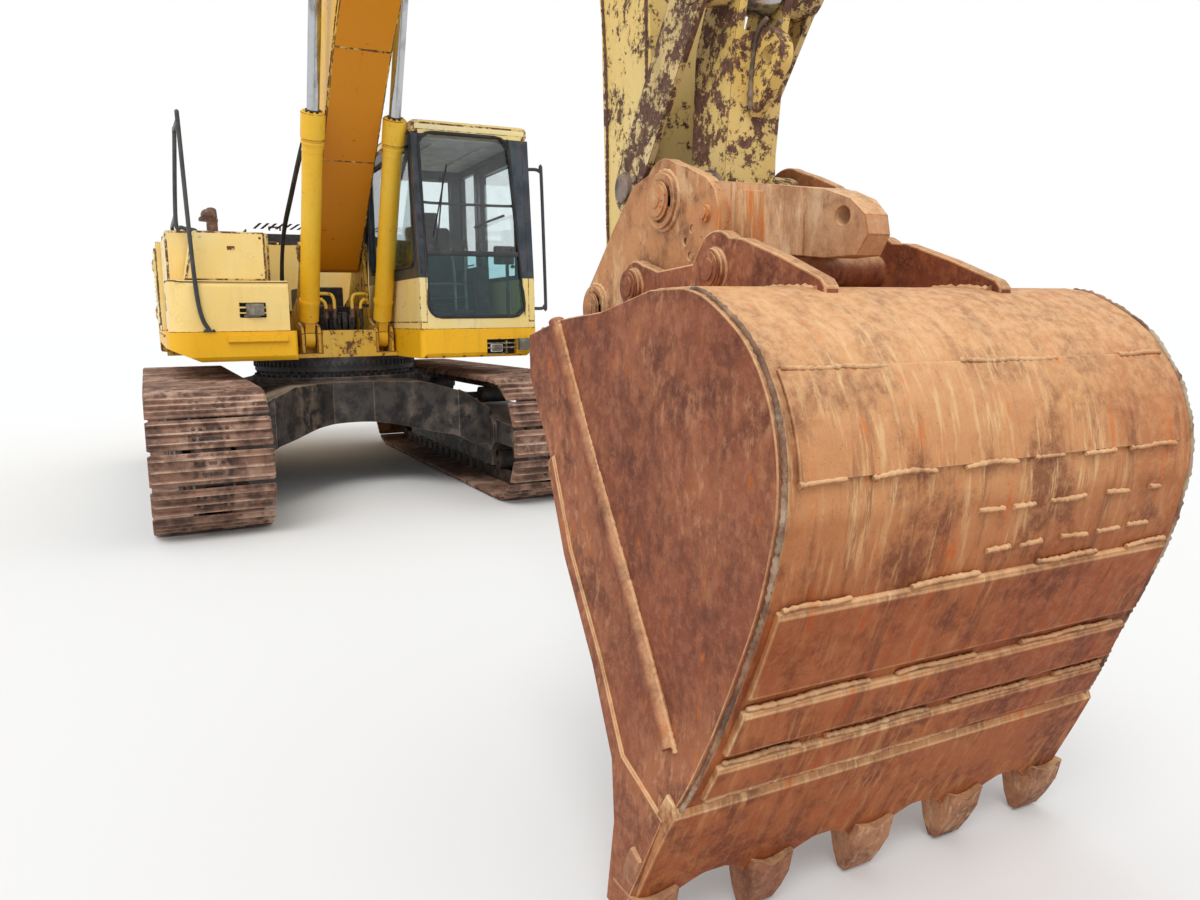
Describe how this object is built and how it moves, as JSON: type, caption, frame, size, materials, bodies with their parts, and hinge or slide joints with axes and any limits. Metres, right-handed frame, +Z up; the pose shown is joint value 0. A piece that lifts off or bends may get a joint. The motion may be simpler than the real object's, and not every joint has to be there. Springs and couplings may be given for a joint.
{
  "type": "crawler excavator",
  "caption": "Tracked excavator with a swinging house, hollow cab, curved boom, arm and toothed bucket on a quick coupler, with hinged doors and cylinders.",
  "frame": {"origin": "on the ground, on the swing axis midway between the tracks", "axes": "+X forward to the bucket, +Y to the machine's left, the cab's side, +Z up"},
  "size_m": [11.0648, 3.39, 5.8102],
  "materials": {
    "yellow_paint": "worn satin",
    "cab_paint": "faded satin",
    "boom_paint": "worn satin",
    "arm_paint": "worn and rusted satin",
    "rod_chrome": "polished",
    "dark_steel": "dusty matt",
    "track_steel": "rusty",
    "rusty_steel": "rusty",
    "black_trim": "satin",
    "glass": "tinted",
    "seat_cloth": "woven",
    "lamp": "clear lens"
  },
  "bodies": {
    "undercarriage": {"car_body": "dark_steel", "track_frame_right": "dark_steel", "track_frame_left": "dark_steel", "track_right": "track_steel", "track_left": "track_steel", "idlers": "dark_steel", "sprockets": "dark_steel", "rollers": "dark_steel", "swing_bearing_base": "dark_steel"},
    "house": {"swing_bearing_ring": "dark_steel", "revolving_frame": "dark_steel", "deck_skirts": "yellow_paint", "counterweight": "yellow_paint", "engine_block": "dark_steel", "engine_bay": "yellow_paint", "tool_box": "yellow_paint", "fuel_tank": "yellow_paint", "hydraulic_tank": "yellow_paint", "control_valve": "dark_steel", "exhaust": "black_trim", "handrails": "black_trim", "work_lamps": "lamp", "cab_floor": "black_trim", "cab_front": "cab_paint", "cab_left": "cab_paint", "cab_right": "cab_paint", "cab_back": "cab_paint", "cab_roof": "cab_paint", "cab_glass": "glass", "seat": "seat_cloth", "consoles": "black_trim"},
    "cab_door": {"cab_door": "cab_paint", "cab_door_glass": "glass"},
    "engine_hood": {"engine_hood": "black_trim"},
    "pump_door": {"pump_door": "yellow_paint"},
    "radiator_door": {"radiator_door": "yellow_paint"},
    "boom": {"boom": "boom_paint", "boom_pipes": "dark_steel"},
    "boom_barrels": {"boom_cylinder_barrels": "boom_paint"},
    "boom_rods": {"boom_cylinder_rods": "rod_chrome"},
    "arm_barrel": {"arm_cylinder_barrel": "boom_paint"},
    "arm_rod": {"arm_cylinder_rod": "rod_chrome"},
    "arm": {"arm": "arm_paint"},
    "bucket_barrel": {"bucket_cylinder_barrel": "boom_paint"},
    "bucket_rod": {"bucket_cylinder_rod": "rod_chrome"},
    "side_links": {"side_links": "arm_paint"},
    "h_link": {"h_link": "arm_paint"},
    "bucket": {"quick_coupler": "rusty_steel", "bucket": "rusty_steel", "bucket_teeth": "rusty_steel"}
  },
  "joints": [
    {"name": "swing", "type": "hinge", "parent": "undercarriage", "child": "house", "pos_m": [0, 0, 1.1], "axis": [0, 0, 1], "continuous": true},
    {"name": "boom_lift", "type": "hinge", "parent": "house", "child": "boom", "pos_m": [0.12, 0, 2.15], "axis": [0, -1, 0], "range_deg": [-66, 40]},
    {"name": "arm_pull", "type": "hinge", "parent": "boom", "child": "arm", "pos_m": [6.08072, 0, 4.71709], "axis": [0, 1, 0], "range_deg": [-90, 30]},
    {"name": "bucket_curl", "type": "hinge", "parent": "arm", "child": "bucket", "pos_m": [6.25851, 0, 1.53706], "axis": [0, 1, 0], "range_deg": [-8, 150]},
    {"name": "cab_door_swing", "type": "hinge", "parent": "house", "child": "cab_door", "pos_m": [0.242, 1.484, 2.2], "axis": [0, 0, 1], "range_deg": [0, 155]},
    {"name": "engine_hood_lift", "type": "hinge", "parent": "house", "child": "engine_hood", "pos_m": [-1.432, 0, 2.35], "axis": [0, 1, 0], "range_deg": [0, 75]},
    {"name": "pump_door_swing", "type": "hinge", "parent": "house", "child": "pump_door", "pos_m": [-2.38, -1.509, 1.9], "axis": [0, 0, -1], "range_deg": [0, 110]},
    {"name": "radiator_door_swing", "type": "hinge", "parent": "house", "child": "radiator_door", "pos_m": [-1.33, 1.509, 1.9], "axis": [0, 0, 1], "range_deg": [0, 110]},
    {"name": "boom_cylinder_tilt", "type": "hinge", "parent": "house", "child": "boom_barrels", "pos_m": [0.56, 0, 1.36], "axis": [0, -1, 0], "range_deg": [-57.92, 35.14]},
    {"name": "boom_rod_slide", "type": "slide", "parent": "boom_barrels", "child": "boom_rods", "axis": [0.4227, 0, 0.9063], "range_m": [-0.8901, 0.5403]},
    {"name": "arm_cylinder_tilt", "type": "hinge", "parent": "boom", "child": "arm_barrel", "pos_m": [2.56238, 0, 5.07458], "axis": [0, 1, 0], "range_deg": [-0.8, 2.21]},
    {"name": "arm_rod_slide", "type": "slide", "parent": "arm_barrel", "child": "arm_rod", "axis": [0.9889, 0, 0.1488], "range_m": [-1.4, 0.468]},
    {"name": "bucket_cylinder_tilt", "type": "hinge", "parent": "arm", "child": "bucket_barrel", "pos_m": [6.62036, 0, 4.3266], "axis": [0, 1, 0], "range_deg": [-0.19, 1.76]},
    {"name": "bucket_rod_slide", "type": "slide", "parent": "bucket_barrel", "child": "bucket_rod", "axis": [0.0963, 0, -0.9954], "range_m": [-0.0662, 1.2063]},
    {"name": "side_link_turn", "type": "hinge", "parent": "arm", "child": "side_links", "pos_m": [6.38701, 0, 1.92584], "axis": [0, 1, 0], "range_deg": [-7.12, 131.65]},
    {"name": "h_link_turn", "type": "hinge", "parent": "bucket", "child": "h_link", "pos_m": [6.715, 0, 1.846], "axis": [0, 1, 0], "range_deg": [-92.65, 5.04]}
  ],
  "couplings": [
    {"joint": "boom_cylinder_tilt", "follows": "boom_lift", "ratio": 0.876},
    {"joint": "boom_rod_slide", "follows": "boom_lift", "m_per_rad": 0.771},
    {"joint": "arm_cylinder_tilt", "follows": "arm_pull", "ratio": -0.0234},
    {"joint": "arm_rod_slide", "follows": "arm_pull", "m_per_rad": 0.89},
    {"joint": "bucket_cylinder_tilt", "follows": "bucket_curl", "ratio": 0.0111},
    {"joint": "bucket_rod_slide", "follows": "bucket_curl", "m_per_rad": 0.46},
    {"joint": "side_link_turn", "follows": "bucket_curl", "ratio": 0.877},
    {"joint": "h_link_turn", "follows": "bucket_curl", "ratio": -0.617}
  ]
}
